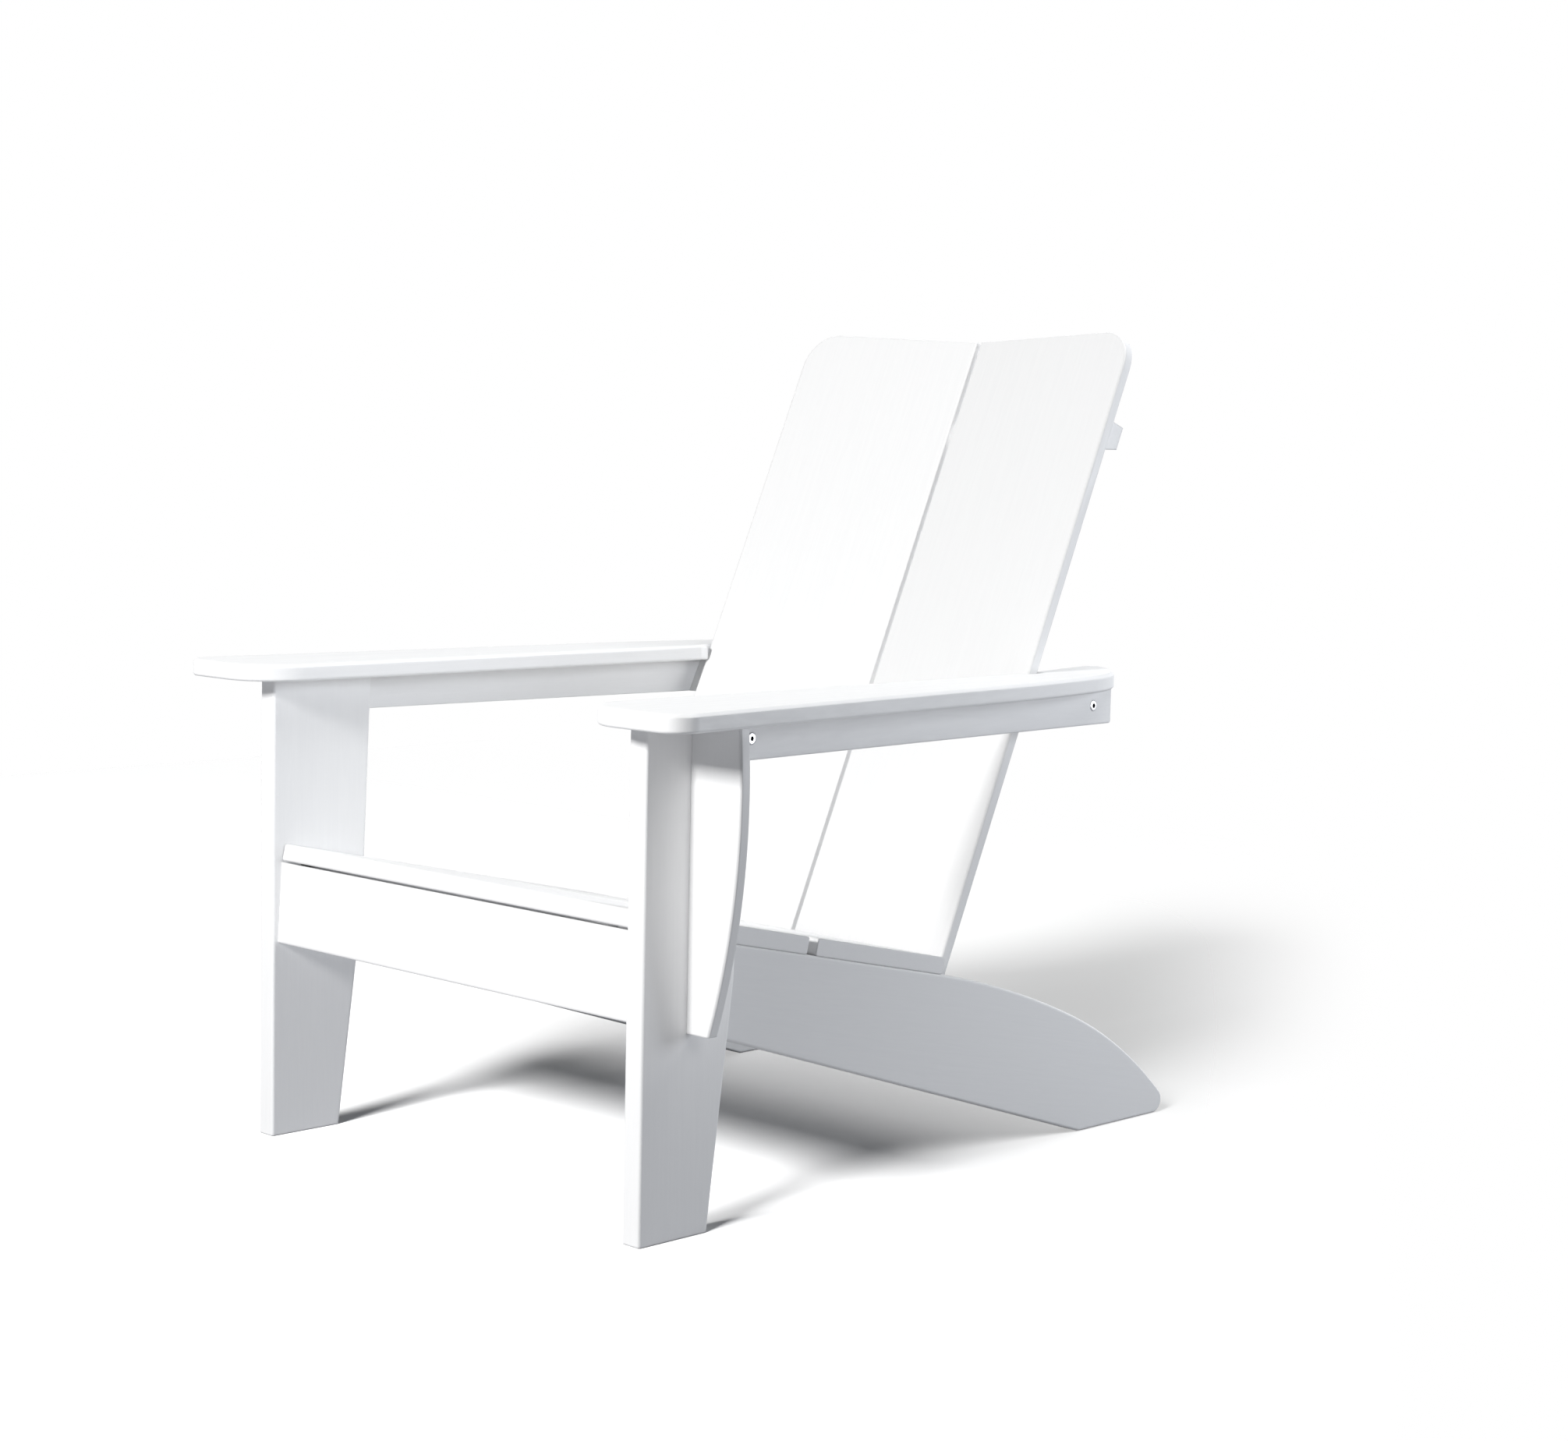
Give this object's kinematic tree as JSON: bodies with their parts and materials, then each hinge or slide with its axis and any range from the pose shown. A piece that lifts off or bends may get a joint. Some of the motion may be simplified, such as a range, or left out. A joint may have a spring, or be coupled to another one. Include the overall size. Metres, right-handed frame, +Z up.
{
  "type": "adirondack chair",
  "caption": "Low garden armchair in white painted boards: reclined back in a shallow V, sloping seat, broad flat arms on brackets, side rails that run down to rear feet.",
  "frame": {"origin": "on the floor, under the middle of the chair's own box", "axes": "+Z up; the chair faces -Y; +X is the sitter's left"},
  "size_m": [0.8158, 0.9316, 0.9383],
  "materials": {
    "painted_boards": "white painted board, satin, faint grain showing through",
    "dowels": "bare beech",
    "screws": "zinc plated",
    "bolts": "bright plated head with a hexagon socket"
  },
  "bodies": {
    "root": {"front_leg_left": "painted_boards", "front_leg_right": "painted_boards", "side_rail_left": "painted_boards", "side_rail_right": "painted_boards", "front_apron": "painted_boards", "seat_plank_front": "painted_boards", "seat_plank_rear": "painted_boards", "arm_left": "painted_boards", "arm_right": "painted_boards", "arm_bracket_left": "painted_boards", "arm_bracket_right": "painted_boards", "arm_rail_left": "painted_boards", "arm_rail_right": "painted_boards", "back_board_left": "painted_boards", "back_board_right": "painted_boards", "upper_back_batten": "painted_boards", "arm_cross_rail": "painted_boards", "lower_back_cleat": "painted_boards", "apron_dowels": "dowels", "bracket_dowels": "dowels", "seat_dowels": "dowels", "arm_dowels": "dowels", "cleat_dowels": "dowels", "leg_screws": "screws", "arm_screws": "screws", "batten_screws": "screws", "cross_rail_screws": "screws", "cleat_screws": "screws", "arm_rail_bolts": "bolts"}
  },
  "joints": []
}
